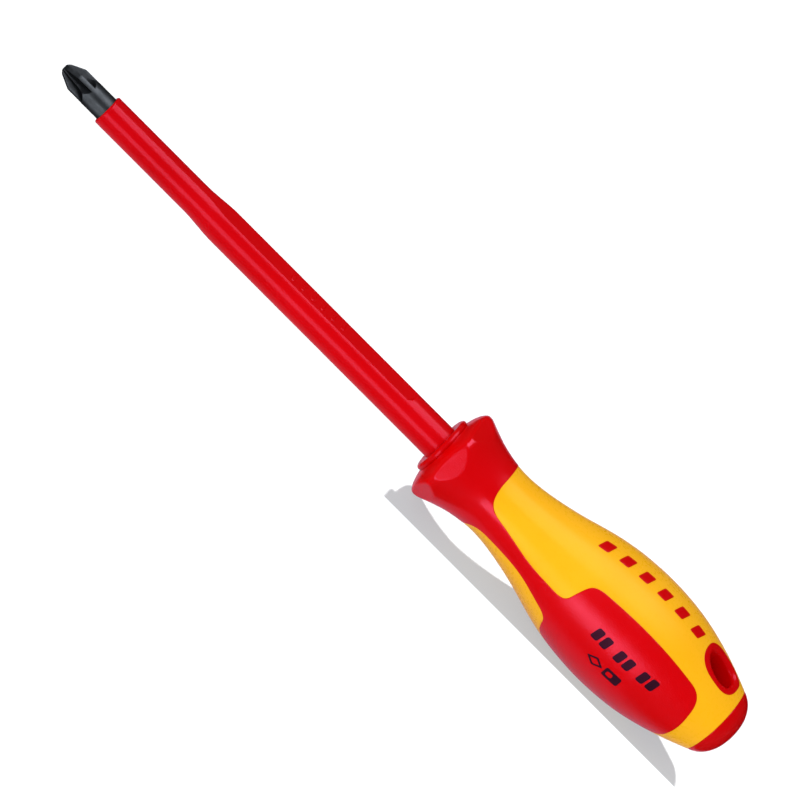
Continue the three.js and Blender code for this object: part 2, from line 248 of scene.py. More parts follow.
def make_piece(name, points, faces, material, sharp=40):
    """A mesh object from points in metres, with welded seams and smooth faces."""
    mesh = bpy.data.meshes.new(name)
    mesh.from_pydata([tuple(p) for p in points], [], [tuple(int(i) for i in f) for f in faces])
    bm = bmesh.new()
    bm.from_mesh(mesh)
    bmesh.ops.remove_doubles(bm, verts=bm.verts, dist=1e-6)
    bmesh.ops.dissolve_degenerate(bm, dist=1e-7, edges=bm.edges)
    bmesh.ops.recalc_face_normals(bm, faces=bm.faces)
    open_edges = sum(1 for e in bm.edges if len(e.link_faces) != 2)
    if open_edges:
        print(f"NOTE {name} has {open_edges} edges that don't join two faces")
    bm.to_mesh(mesh)
    bm.free()
    mesh.polygons.foreach_set("use_smooth", [True] * len(mesh.polygons))
    mesh.set_sharp_from_angle(angle=math.radians(sharp))
    mesh.materials.append(material)
    return add_object(name, mesh)


def grid_faces(rows, columns, wrap_rows=False):
    """Quads of a net of rows by columns whose columns close on themselves."""
    faces = []
    last = rows if wrap_rows else rows - 1
    for i in range(last):
        for j in range(columns):
            a = i * columns + j
            b = i * columns + (j + 1) % columns
            c = ((i + 1) % rows) * columns + (j + 1) % columns
            d = ((i + 1) % rows) * columns + j
            faces.append((a, d, c, b))
    return faces


def even_angles(segments):
    """Degrees round the axis, in even steps."""
    return np.arange(segments) * 360 / segments


def arc(centre, radius, start, end, count):
    """(x, r) points of an arc, angles in degrees from +x towards +r."""
    a = np.radians(np.linspace(start, end, count))
    return [(centre[0] + radius * math.cos(v), centre[1] + radius * math.sin(v)) for v in a]


def inside(points, loops):
    """Which of the points lie inside an odd number of the closed loops."""
    odd = np.zeros(len(points), bool)
    x, y = points[:, 0], points[:, 1]
    for loop in loops:
        for (x0, y0), (x1, y1) in zip(loop, np.roll(loop, -1, axis=0)):
            if y0 == y1:
                continue
            crosses = (y0 > y) != (y1 > y)
            odd ^= crosses & (x < x0 + (y - y0) * (x1 - x0) / (y1 - y0))
    return odd


class Panel:
    """A moulded skin on the handle, bounded by smooth edges and, where its twin joins it, by seams.

    Every edge gets a rounded lip: lines that run beside it at the distances of LIP, each lower by its drop.
    centre is the angle about which the panel is laid flat. spacing and edge_spacing are the distances
    between points, and fine, a (start, end, spacing) along the tool, sets closer points at its front.
    """

    LIP = [(SEAM, 0.07), (0.035, 0.035), (0.07, 0.014), (0.13, 0.003), (0.22, 0.0)]
    SQUARE = [(0.0, 0.0), (0.1, 0.0)]

    def __init__(self, centre, spacing, edge_spacing=0.45, lip=None, fine=None):
        self.centre = centre
        self.spacing = spacing
        self.edge_spacing = edge_spacing
        self.lip = lip or self.LIP
        self.fine = fine
        self.places = []
        self.drops = []
        self.on_seam = []
        self.lines = []
        self.loops = []

    def flat(self, places):
        """(x, arc length) of (x, angle) places."""
        places = np.asarray(places, float)
        arc_length = handle_radius(places[:, 0]) * np.radians(places[:, 1] - self.centre)
        return np.stack([places[:, 0], arc_length], -1)

    def add(self, places, drop, seam=False):
        first = len(self.places)
        self.places.extend(map(tuple, places))
        self.drops.extend([drop] * len(places))
        self.on_seam.extend([seam] * len(places))
        return list(range(first, len(self.places)))

    def resample(self, places, closed):
        """Even steps along an edge; dense where the outline's points are dense enough to need it."""
        source = np.vstack([places, places[:1]]) if closed else places
        along = np.concatenate([[0], np.cumsum(np.hypot(*np.diff(self.flat(source), axis=0).T))])
        count = max(8, int(round(along[-1] / self.edge_spacing)))
        at = np.linspace(0, along[-1], count + 1)
        if closed:
            at = at[:-1]
        return np.stack([np.interp(at, along, source[:, k]) for k in (0, 1)], -1)

    def edge(self, places, closed, side, square_ends=(0, 0), lip=None):
        """Adds a lip along an edge. side is 1 where the panel lies on the edge's left. Returns its lines."""
        places = self.resample(np.asarray(places, float), closed)
        # A constant angle is slanted in the flat view, so directions are taken on the surface itself.
        turned = np.stack([places[:, 0], np.radians(places[:, 1])], -1)
        if closed:
            along = np.roll(turned, -1, axis=0) - np.roll(turned, 1, axis=0)
        else:
            along = np.gradient(turned, axis=0)
        along[:, 1] *= handle_radius(places[:, 0])
        along /= np.hypot(*along.T)[:, None]
        normal = np.stack([-along[:, 1], along[:, 0]], -1) * side
        for end, sign in zip((0, -1), square_ends):
            if sign:
                normal[end] = (sign, 0)
        rings = []
        for distance, drop in lip or self.lip:
            moved = places.copy()
            moved[:, 0] += normal[:, 0] * distance
            moved[:, 1] += np.degrees(normal[:, 1] * distance / handle_radius(places[:, 0]))
            ring = self.add(moved, drop)
            rings.append(ring)
            pairs = list(zip(ring, ring[1:])) + ([(ring[-1], ring[0])] if closed else [])
            self.lines.extend(pairs)
        return rings

    def seam(self, from_rings, to_rings):
        """Adds the line of constant angle between the end of one edge and the start of the next."""
        start = [ring[-1] for ring in from_rings]
        finish = [ring[0] for ring in reversed(to_rings)]
        (x0, angle), (x1, _) = self.places[start[-1]], self.places[finish[0]]
        count = max(2, int(round(abs(x1 - x0) / self.edge_spacing)))
        xs = np.linspace(x0, x1, count + 1)[1:-1]
        middle = self.add([(x, angle) for x in xs], 0.0, seam=True)
        chain = start + middle + finish
        for i in chain:
            self.on_seam[i] = True
        self.lines.extend(zip(chain, chain[1:]))
        return chain

    def outer(self, edges):
        """The outer boundary from edges whose ends lie on seams: (places, side, square_ends, lip) each."""
        rings = [self.edge(places, False, side, ends, lip) for places, side, ends, lip in edges]
        loop = []
        for ring, following in zip(rings, rings[1:] + rings[:1]):
            loop.extend(ring[0])
            loop.extend(self.seam(ring, following)[1:-1])
        self.loops.append(loop)

    def closed(self, places, hole=False):
        """A boundary that closes on itself, given anticlockwise in (x, angle)."""
        rings = self.edge(places, True, -1 if hole else 1)
        self.loops.append(rings[0])

    def fill(self):
        """Triangulates the panel. Returns places, drops, which of them lie on a seam, and triangles."""
        flat = self.flat(self.places)
        loops = [flat[loop] for loop in self.loops]
        tree = KDTree(len(flat))
        for i, (x, y) in enumerate(flat):
            tree.insert((x, y, 0), i)
        tree.balance()
        low, high = flat.min(0), flat.max(0)
        zones = [(self.spacing, low[0], high[0])]
        if self.fine:
            start, end, step = self.fine
            zones = [(step, max(low[0], start), end), (self.spacing, end, high[0])]
        for step, start, end in zones:
            xs = np.arange(start + step / 2, end, step * ROW_PITCH)
            ys = np.arange(low[1], high[1], step)
            grid = np.array([(x, y + (k % 2) * step / 2) for k, x in enumerate(xs) for y in ys])
            grid = grid[inside(grid, loops)]
            keep = [p for p in grid if tree.find((p[0], p[1], 0))[2] > CLEAR_OF_EDGES * step]
            self.add([(x, self.centre + math.degrees(y / handle_radius(x))) for x, y in keep], 0.0)
        flat = self.flat(self.places)
        found = delaunay_2d_cdt([Vector(p) for p in flat], self.lines, [], 0, 1e-7)
        coords, _, faces, sources = found[:4]
        flat = np.array([(p.x, p.y) for p in coords])
        triangles = np.array([tuple(f) for f in faces])
        triangles = triangles[inside(flat[triangles].mean(1), loops)]
        used = np.unique(triangles)
        order = np.full(len(flat), -1)
        order[used] = np.arange(len(used))
        first = [s[0] if s else -1 for s in sources]
        made = [i for i in used if first[i] < 0]
        if made:
            print("NOTE", len(made), "points were made where lines cross")
        source = np.array([first[i] for i in used])
        places = np.array(self.places)[source]
        return places, np.array(self.drops)[source], np.array(self.on_seam)[source], order[triangles]

    def solid(self, name, material, proud, depth, twins=2, half_turns=0):
        """The closed mesh: a top, a back that much below the surface, and walls along the edges."""
        if not hasattr(self, "filled"):
            self.filled = self.fill()
        places, drops, seam, triangles = self.filled
        count = len(places)
        x, angle = places.T
        r = handle_surface(x, angle)
        edges = dict.fromkeys(edge for a, b, c in triangles for edge in ((a, b), (b, c), (c, a)))
        border = [(a, b) for a, b in edges if (b, a) not in edges and not (seam[a] and seam[b])]
        points, faces = [], []
        for twin in range(twins):
            turn = 180 * (twin + half_turns)
            base = 2 * count * twin
            points.append(on_handle(x, angle + turn, r + proud - drops))
            points.append(on_handle(x, angle + turn, r - depth))
            faces.extend((base + a, base + b, base + c) for a, b, c in triangles)
            faces.extend((base + count + c, base + count + b, base + count + a) for a, b, c in triangles)
            faces.extend((base + b, base + a, base + count + a, base + count + b) for a, b in border)
        return make_piece(name, np.vstack(points), faces, material)


def mark_points(piece, name, chosen):
    """Stores a mask with the piece. chosen gives it from the points' x and radius."""
    points = np.array([v.co for v in piece.data.vertices]) / MM
    x, y, z = points.T
    values = chosen(x, np.hypot(y, z))
    attribute = piece.data.attributes.new(name, "FLOAT", "POINT")
    attribute.data.foreach_set("value", np.asarray(values, np.float32))


def finish_piece(piece, slot, *nodes):
    """Every piece rides on the tool's one body and stands for CAD nodes, which it hides. slot is not used.
    """
    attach(piece, "root")
    if nodes:
        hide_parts(*nodes)
    return piece


# ---- Materials -------------------------------------------------------------------------------------


def new_material(name):
    material = bpy.data.materials.new(name)
    material.use_nodes = True
    tree = material.node_tree
    shader = tree.nodes["Principled BSDF"]
    return material, tree, shader


def noise(tree, scale, detail=2.0, stretch=None):
    """Noise in the tool's own frame. scale is in cells per metre; stretch scales X, Y and Z."""
    place = tree.nodes.new("ShaderNodeTexCoord")
    mapping = tree.nodes.new("ShaderNodeMapping")
    if stretch:
        mapping.inputs["Scale"].default_value = stretch
    texture = tree.nodes.new("ShaderNodeTexNoise")
    texture.inputs["Scale"].default_value = scale
    texture.inputs["Detail"].default_value = detail
    tree.links.new(place.outputs["Object"], mapping.inputs["Vector"])
    tree.links.new(mapping.outputs["Vector"], texture.inputs["Vector"])
    return texture.outputs["Fac"]


def ramp(tree, value, low, high, start=0.3, end=0.7):
    """Colour or grey that goes from low to high as value goes from start to end."""
    node = tree.nodes.new("ShaderNodeValToRGB")
    for element, place, colour in zip(node.color_ramp.elements, (start, end), (low, high)):
        element.position = place
        element.color = (*colour, 1)
    tree.links.new(value, node.inputs["Fac"])
    return node.outputs["Color"]


def grey(value):
    return (value, value, value)


def add_bump(tree, shader, height, distance):
    bump = tree.nodes.new("ShaderNodeBump")
    bump.inputs["Distance"].default_value = distance
    tree.links.new(height, bump.inputs["Height"])
    tree.links.new(bump.outputs["Normal"], shader.inputs["Normal"])


def point_mask(tree, name):
    """A mask stored with the mesh, 1 where it applies."""
    attribute = tree.nodes.new("ShaderNodeAttribute")
    attribute.attribute_name = name
    return attribute.outputs["Fac"]


def blend(tree, factor, a, b):
    """Colours a and b mixed by factor."""
    mix = tree.nodes.new("ShaderNodeMix")
    mix.data_type = "RGBA"
    tree.links.new(factor, mix.inputs["Factor"])
    tree.links.new(a, mix.inputs["A"])
    tree.links.new(b, mix.inputs["B"])
    return mix.outputs["Result"]


def own_place(tree, axis):
    """A coordinate in the piece's own frame, in metres."""
    place = tree.nodes.new("ShaderNodeTexCoord")
    split = tree.nodes.new("ShaderNodeSeparateXYZ")
    tree.links.new(place.outputs["Object"], split.inputs["Vector"])
    return split.outputs[axis]


def moulded(name, low, high, rough, gloss, grain_scale, grain_height, shine=0.5):
    """Moulded plastic: faint colour variation, uneven gloss of the tint given, and a fine grain."""
    material, tree, shader = new_material(name)
    tree.links.new(ramp(tree, noise(tree, 60), low, high), shader.inputs["Base Color"])
    tree.links.new(
        ramp(tree, noise(tree, 900), grey(rough[0]), grey(rough[1])), shader.inputs["Roughness"]
    )
    shader.inputs["Specular IOR Level"].default_value = shine
    shader.inputs["Specular Tint"].default_value = (*gloss, 1)
    add_bump(tree, shader, noise(tree, grain_scale, 3.0), grain_height)
    return material


def sleeve_moulded():
    """The sleeve's hard red, with painted shade that darkens its slim front, as less light reaches the tip.
    """
    material = moulded(
        "sleeve_red", (0.62, 0.0, 0.001), (0.65, 0.0, 0.002), (0.19, 0.21), RED_GLOSS, 2600, 0.000002, 0.35
    )
    tree = material.node_tree
    shader = tree.nodes["Principled BSDF"]
    along = tree.nodes.new("ShaderNodeMapRange")
    along.inputs["From Min"].default_value = SLEEVE_PAINTED_SHADE[0] * MM
    along.inputs["From Max"].default_value = SLEEVE_PAINTED_SHADE[1] * MM
    tree.links.new(own_place(tree, "X"), along.inputs["Value"])
    plain = shader.inputs["Base Color"].links[0].from_socket
    # painted shade: a deeper red on the slim front, standing in for light that falls off towards the tip
    painted_shade_red = ramp(tree, noise(tree, 60), (0.55, 0.0, 0.001), (0.58, 0.0, 0.002))
    tree.links.new(blend(tree, along.outputs["Result"], painted_shade_red, plain), shader.inputs["Base Color"])
    return material


def soft_moulded():
    """The soft red: smooth at the guard and the neck, grained where its points carry the mask."""
    material = moulded(
        "soft_red", (0.655, 0.0, 0.0), (0.685, 0.0, 0.001), (0.17, 0.19), RED_GLOSS, GRAIN, GRAIN_HEIGHT, 0.8
    )
    tree = material.node_tree
    shader = tree.nodes["Principled BSDF"]
    bump = shader.inputs["Normal"].links[0].from_node
    strength = ramp(tree, point_mask(tree, "grained"), grey(0.02), grey(1.0), 0.0, 1.0)
    tree.links.new(strength, bump.inputs["Strength"])
    return material


def blackened_steel():
    """Black-oxide steel: a blue-grey skin with fine lines round the bar, and painted shade that darkens the
    flutes.
    """
    material, tree, shader = new_material("blackened_steel")
    shader.inputs["Metallic"].default_value = 0.75
    patches = noise(tree, 300, 4.0)
    bar = ramp(tree, patches, (0.031, 0.035, 0.041), (0.049, 0.055, 0.063))
    # painted shade: the flutes get a darker colour, as if shaded in their recesses
    painted_flute_shade = ramp(tree, patches, (0.011, 0.013, 0.016), (0.018, 0.02, 0.024))
    tree.links.new(blend(tree, point_mask(tree, "painted_flute_shade"), bar, painted_flute_shade), shader.inputs["Base Color"])
    tree.links.new(ramp(tree, noise(tree, 700, 3.0), grey(0.36), grey(0.48)), shader.inputs["Roughness"])
    add_bump(tree, shader, noise(tree, 1500, 3.0, stretch=(3, 1, 1)), 0.000012)
    return material


RED_GLOSS = (0.75, 0.2, 0.38)
YELLOW_GLOSS = (1.0, 0.45, 0.2)
GRAIN = 2600  # grain cells in a metre of the soft moulding
GRAIN_HEIGHT = 0.00008

MATERIALS = {
    "blade_steel": blackened_steel(),
    "sleeve_red": sleeve_moulded(),
    "hard_red": moulded(
        "hard_red", (0.59, 0.0, 0.0), (0.62, 0.0, 0.001), (0.18, 0.2), RED_GLOSS, 3000, 0.000002
    ),
    "hard_yellow": moulded(
        "hard_yellow", (0.97, 0.465, 0.006), (1.0, 0.49, 0.01), (0.272, 0.278), YELLOW_GLOSS,
        2600, 0.000001, 0.3,
    ),
    "soft_red": soft_moulded(),
    "print_black": moulded(
        "print_black", (0.02, 0.002, 0.01), (0.035, 0.005, 0.018), (0.4, 0.5), (0.4, 0.1, 0.2), 3000, 0.00001
    ),
}


# ---- The blade -------------------------------------------------------------------------------------


def blade_outer_radius(x):
    """The round bar and its cone, before the flutes are cut."""
    nose = NOSE_R + NOSE_SLOPE * x
    cone = TIP_FLAT_R + (BLADE_R - TIP_FLAT_R) * x / TIP_CONE_END
    return soft_min(soft_min(nose, cone, 0.25), BLADE_R, 0.15)


def flute_floor(x):
    """Half the width of the square core between the wings. It rises in an arc where the cutter ran out."""
    run_out = FLUTE_FLOOR["run_out"]
    level = FLUTE_FLOOR["start"] + FLUTE_FLOOR["slope"] * min(x, run_out)
    return level + max(x - run_out, 0) ** 2 / (2 * FLUTE_FLOOR["cutter_r"])


def blade_section(x):
    """(angle from a wing's middle, radius) of an eighth of the tip's section."""
    r = blade_outer_radius(x)
    wing, floor = WING_HALF_THICKNESS, flute_floor(x)
    land = math.asin(min(wing / r, 0.99))
    foot = max(math.atan2(wing, floor), land) if floor * floor + wing * wing < r * r else land
    crest = math.acos(floor / r) if floor < r else 0
    crest = max(foot, min(math.pi / 4, crest))
    on_land, on_side, on_floor, on_bar = 4, 4, 5, 4
    angles = np.concatenate([
        np.linspace(0, land, on_land), np.linspace(land, foot, on_side + 1)[1:],
        np.linspace(foot, crest, on_floor + 1)[1:], np.linspace(crest, math.pi / 4, on_bar + 1)[1:],
    ])
    bar_from = on_land + on_side + on_floor
    radii = []
    for i, a in enumerate(angles):
        if i < on_land or (i >= bar_from and crest < math.pi / 4):
            radii.append(r)
        else:
            cross = wing / math.sin(a) if a > 0 else r
            radii.append(min(r, max(cross, floor / math.cos(a))))
    return angles, np.array(radii)


def tang_radius(x, angles):
    """The bar inside the handle, forged wide one way and thin the other to stop it turning."""
    wings = TANG_WINGS
    forged = smoothstep(wings["start"], wings["full"], x) * (1 - smoothstep(wings["fade"], wings["end"], x))
    a = np.radians(angles)
    wide = 1 + wings["wider"] * forged
    thin = 1 - wings["thinner"] * forged
    return BLADE_R / np.sqrt((np.cos(a) / wide) ** 2 + (np.sin(a) / thin) ** 2)


def make_blade():
    """Cross tip, round bar and the forged wings of the tang."""
    tang_start, tang_bevel = 200, 0.7
    stations = np.concatenate([
        np.linspace(0, 0.7, 5), np.linspace(0.9, TIP_CONE_END + 0.6, 20),
        np.linspace(5.8, FLUTE_END + 0.4, 40), [12, 14, 20, 60, 120, 180, tang_start],
        np.linspace(TANG_WINGS["start"], TANG_WINGS["end"], 14), [231, TANG_END - 1, TANG_END - 0.3],
    ])
    rows = []
    for x in stations:
        angles, radii = blade_section(min(x, FLUTE_END + 0.3))
        full_angles, full_radii = [], []
        for quarter in range(4):
            start = WING_ANGLE + 90 * quarter
            up = np.degrees(angles)
            full_angles.extend(start + up)
            full_radii.extend(radii)
            full_angles.extend(start + 90 - up[-2:0:-1])
            full_radii.extend(radii[-2:0:-1])
        full_angles, full_radii = np.array(full_angles), np.array(full_radii)
        if x > tang_start:
            full_radii = tang_radius(x, full_angles)
        if x > TANG_END - 1:
            full_radii = full_radii - tang_bevel
        rows.append(on_handle(x, full_angles, full_radii))
    columns = len(rows[0])
    rows.insert(0, np.repeat([[0, 0, 0]], columns, axis=0))
    rows.append(np.repeat([[(TANG_END - 0.2) * MM, 0, 0]], columns, axis=0))
    faces = grid_faces(len(rows), columns)
    piece = make_piece("screwdriver_blade", np.vstack(rows), faces, MATERIALS["blade_steel"], sharp=28)
    # marks the flutes, where painted shade darkens the steel
    mark_points(piece, "painted_flute_shade", lambda x, r: (x < FLUTE_END + 0.4) & (r < blade_outer_radius(x) - 0.04))
    return finish_piece(piece, "blade_steel", "blade")


# ---- The sleeve on the blade -----------------------------------------------------------------------


def sleeve_radius(x):
    grown = SLEEVE_SLIM_R + (SLEEVE_R - SLEEVE_SLIM_R) * smoothstep(*SLEEVE_SWELL, x)
    into = np.clip(x - SLEEVE_FRONT, 0, SLEEVE_EDGE)
    return grown - SLEEVE_EDGE + np.sqrt(SLEEVE_EDGE ** 2 - (SLEEVE_EDGE - into) ** 2)


def sleeve_surface(x, angle):
    """The sleeve with a long flat on +Z and -Z, pointed in front and with round corners at the rear."""
    r = sleeve_radius(x)
    off = np.asarray(angle, float) % 180 - 90
    plane = SLEEVE_FLAT_HEIGHT / np.cos(np.radians(np.clip(off, -60, 60)))
    cut = soft_min(r, plane, SLEEVE_SOFT["flat"])
    across = np.abs(r * np.sin(np.radians(off)))
    corner = SLEEVE_FLAT_CORNER
    painted_light_beyond = np.maximum(x - (SLEEVE_FLAT_END - corner), 0)
    beside = np.maximum(across - (SLEEVE_FLAT_HALF_WIDTH - corner), 0)
    end, tick_end, tick_side = (SLEEVE_SOFT[key] for key in ("flat_end", "tick_end", "tick_side"))
    outside = smoothstep(-end, end, np.hypot(painted_light_beyond, beside) - corner)
    # Only the flat's rear end is cut off. Further forward the plane runs out of the round by itself.
    outside = np.where(x > 100, outside, 0)
    for i in range(TICKS["count"]):
        past = x - TICKS["first"] - TICKS["pitch"] * i
        begun = smoothstep(-tick_end, tick_end, past)
        along = begun * (1 - smoothstep(-tick_end, tick_end, past - TICKS["length"]))
        wide = 1 - smoothstep(-tick_side, tick_side, across - TICKS["half_width"])
        cut = cut + TICKS["proud"] * along * wide
    return cut * (1 - outside) + r * outside


def make_sleeve():
    """The long red insulation, with its bore and front edge."""
    quarter = np.concatenate([np.arange(0, 34, 1.0), np.arange(34, 90, 2.8)])
    half = np.unique(np.round(np.concatenate([90 + quarter, 90 - quarter]), 6))
    angles = np.unique(np.round(np.concatenate([half, half + 180]) % 360, 6))
    front_edge = SLEEVE_FRONT + SLEEVE_EDGE * (1 - np.cos(np.radians(np.linspace(0, 90, 8))))
    # Rows lie closer together at the swell, at the ticks and at the end of the flat.
    xs = np.concatenate([
        front_edge, np.arange(18.5, 52, 3.0), np.arange(52, 67, 0.4), np.arange(68, 87, 2.5),
        np.arange(87.6, 109.4, 0.08), np.arange(111, 133, 2.5), np.arange(133.6, 138, 0.14),
        np.arange(139, SLEEVE_END, 4.0), [SLEEVE_END],
    ])
    rows = [on_handle(x, angles, sleeve_surface(x, angles)) for x in xs]
    bore = BLADE_R + BORE_CLEARANCE
    rows.append(on_handle(SLEEVE_END, angles, np.full(len(angles), bore)))
    rows.append(on_handle(SLEEVE_FRONT + 0.15, angles, np.full(len(angles), bore)))
    rows.append(on_handle(SLEEVE_FRONT, angles, np.full(len(angles), bore + 0.15)))
    faces = grid_faces(len(rows), len(angles), wrap_rows=True)
    piece = make_piece("sleeve", np.vstack(rows), faces, MATERIALS["sleeve_red"], sharp=50)
    return finish_piece(piece, "sleeve_red", "blade_insulation")


# ---- The handle ------------------------------------------------------------------------------------


def grip_edge():
    """Half the edge of a pad and the strip that joins it to the neck, as (x, angle)."""
    return np.vstack([
        bezier((SHELL_FRONT, TONGUE_EDGE), (172.2, 36), (173.4, 21.8), (178.6, 18.6)),
        through([(178.6, 18.6), (188.3, 12.1), (194.3, 10.6), (203.6, 13.4)])[1:],
        bezier((203.6, 13.4), (206, 14.6), (207.2, 17), (207.6, 25.5))[1:],
        bezier((207.6, 25.5), (207.9, 29), (208.2, 32.5), (208.6, 36))[1:],
        bezier((208.6, 36), (209.4, 43.5), (210.4, 47), (215.2, 47.4))[1:],
        bezier((215.2, 47.4), (228, 49.4), (238, 49.4), (249.6, 45.7))[1:],
        bezier((249.6, 45.7), (252.9, 44.5), (254.4, 38), (255.1, 27))[1:],
        bezier((255.1, 27), (255.55, 18), (255.9, 8), (255.9, 0))[1:],
    ])


def round_handle(x, angles):
    """(x, angle) places at one x."""
    return np.stack([np.full(len(angles), x), angles], -1)


def oval(half, powers, count=96):
    """A rounded oval in plan, as (x, y) round the hanging hole."""
    t = np.linspace(0, 2 * math.pi, count, endpoint=False)
    power = np.where(np.cos(t) < 0, *powers)
    x = np.sign(np.cos(t)) * np.abs(np.cos(t)) ** (2 / power) * half[0]
    y = np.sign(np.sin(t)) * np.abs(np.sin(t)) ** (2 / power) * half[1]
    return np.stack([HOLE_X + x, y + HOLE_LEAN * x], -1)


def plan_to_places(plan):
    """(x, angle) of points given in plan on the +Z side, anticlockwise kept anticlockwise."""
    x, y = plan.T
    angle = 90 + np.degrees(np.arcsin(y / handle_radius(x)))
    return np.stack([x, angle], -1)


def slanted(x, length, slant, low, high):
    """The corners of a bar that leans towards the butt, anticlockwise."""
    return [(x, low), (x + length, low), (x + length + slant, high), (x + slant, high)]


def laid_on(corners, radius, middle, angle=0.0):
    """(x, angle) of an outline with round corners, given in x and along the girth at x = middle."""
    rounded = round_corners(corners, radius)
    return np.stack([rounded[:, 0], angle + np.degrees(rounded[:, 1] / handle_radius(middle))], -1)


def inlay_outline(i):
    x = INLAY["first"] + INLAY["pitch"] * i
    length, slant, half = INLAY["length"], INLAY["slant"], INLAY["height"] / 2
    corners = slanted(x, length, slant, -half, half)
    return laid_on(corners, INLAY["corner"], x + (length + slant) / 2, INLAY["angle"])


def round_corners(corners, radius):
    """A closed outline whose corners are replaced by short smooth bends."""
    corners = [np.array(c, float) for c in corners]
    pieces = []
    for before, corner, after in zip(corners[-1:] + corners[:-1], corners, corners[1:] + corners[:1]):
        a = corner + (before - corner) / np.linalg.norm(before - corner) * radius
        b = corner + (after - corner) / np.linalg.norm(after - corner) * radius
        pieces.append(bezier(a, a + (corner - a) * 0.6, b + (corner - b) * 0.6, b, 7))
    return np.vstack(pieces)


def seam_place(angle):
    """Where the shell meets the end cap, at an angle."""
    return SHELL_END - SEAM_BOW * (1 - np.cos(2 * np.radians(angle - VIEW_ANGLE))) / 2


def make_shell():
    """The hard yellow moulding: a tongue between the pads on each side and a ring behind them."""
    edge = grip_edge()
    far_edge = np.stack([edge[:, 0], 180 - edge[:, 1]], -1)
    front = np.linspace(TONGUE_EDGE, 180 - TONGUE_EDGE, 40)[1:-1]
    boundary = np.vstack([edge[::-1], round_handle(SHELL_FRONT, front), far_edge])
    around = np.linspace(180, 0, 200)
    rear = np.stack([seam_place(around), around], -1)
    panel = Panel(centre=90, spacing=0.8)
    panel.outer([(boundary, -1, (1, 1), None), (rear, -1, (-1, -1), None)])
    panel.closed(plan_to_places(oval(BEZEL_HALF, BEZEL_POWERS)), hole=True)
    for i in range(INLAY["count"]):
        panel.closed(inlay_outline(i), hole=True)
    piece = panel.solid("yellow_shell", MATERIALS["hard_yellow"], 0.0, SKIN)
    return finish_piece(piece, "hard_yellow", "handle_shell")


def make_grip():
    """The soft red moulding: guard, neck, two strips and two pads."""
    edge = grip_edge()
    top = np.vstack([round_handle(SHELL_FRONT, np.linspace(90, TONGUE_EDGE, 30))[:-1], edge])
    bottom = np.stack([top[:, 0], -top[:, 1]], -1)[::-1]
    boundary = np.vstack([top, bottom[1:]])
    front = round_handle(HANDLE_FRONT, np.linspace(-90, 90, 200))
    panel = Panel(centre=0, spacing=0.8, fine=(HANDLE_FRONT, 164, 0.3))
    panel.outer([(boundary, -1, (-1, -1), None), (front, -1, (1, 1), Panel.SQUARE)])
    piece = panel.solid("soft_grip_moulding", MATERIALS["soft_red"], PAD_PROUD, SKIN)
    mark_points(piece, "grained", lambda x, r: np.maximum(
        smoothstep(*GRAINED_FROM, x), (x < FLANGE_END) & (r < handle_radius(x) - 0.02)
    ))
    return finish_piece(piece, "soft_red", "soft_grip")


def make_inlays():
    """Six plain red bars let into the yellow on each side."""
    for i in range(INLAY["count"]):
        panel = Panel(centre=90, spacing=0.5, edge_spacing=0.3)
        panel.closed(inlay_outline(i))
        for side, half_turns in (("upper", 0), ("lower", 1)):
            node = f"{side}_inlay_{i + 1}"
            piece = panel.solid(
                node + "_bar", MATERIALS["hard_red"], INLAY["proud"], INLAY["depth"], 1, half_turns
            )
            finish_piece(piece, "hard_red", node)


def make_core():
    """The hard core: its collar shows in front of the guard."""
    crown, r, edge, rear = COLLAR["crown"], COLLAR["r"], COLLAR["edge"], COLLAR["rear_rounding"]
    turn = np.radians(np.linspace(0, 90, 12))
    front_edge = zip(crown - (crown - COLLAR_FRONT) * np.cos(turn), r - edge * (1 - np.sin(turn)))
    profile = [(COLLAR_FRONT + 0.1, SLEEVE_R + 0.1), (COLLAR_FRONT, SLEEVE_R + 0.3)]
    profile += list(front_edge) + arc((crown, r - rear), rear, 90, 64, 6)[1:]
    profile += [(HANDLE_FRONT + 0.02, 8.2), (176, 8.2), (200, 11.5)]
    profile += [(226, 15.4), (243, 14.0), (243, 6.6), (160, SLEEVE_R + 0.1)]
    angles = even_angles(128)
    rows = [on_handle(x, angles, r) for x, r in profile]
    faces = grid_faces(len(rows), len(angles), wrap_rows=True)
    piece = make_piece("core_and_collar", np.vstack(rows), faces, MATERIALS["hard_red"])
    return finish_piece(piece, "hard_red", "handle_core")


def make_end_cap():
    """The red rear end, from the joint with the shell to the butt."""
    angles = even_angles(160)
    start = seam_place(angles) + SEAM
    lip_end = CAP_LIP[-1][0]
    butt_start = (SHELL_END + lip_end, handle_radius(SHELL_END) - CAP_SUNK)
    butt = bezier(butt_start, *BUTT_PULL, (BUTT, BUTT_FLAT_R), 40)
    spigot_end = CORE_END + GAP
    rows = [on_handle(spigot_end, angles, r) for r in (0.0, SPIGOT_R)]
    rows.append(on_handle(start, angles, SPIGOT_R))
    for distance, drop in CAP_LIP:
        x = start + distance
        rows.append(on_handle(x, angles, handle_radius(x) - CAP_SUNK - drop))
    rows += [on_handle(x, angles, r) for x, r in butt]
    rows.append(on_handle(BUTT, angles, 0.0))
    faces = grid_faces(len(rows), len(angles))
    piece = make_piece("rear_cap", np.vstack(rows), faces, MATERIALS["hard_red"])
    return finish_piece(piece, "hard_red", "end_cap")


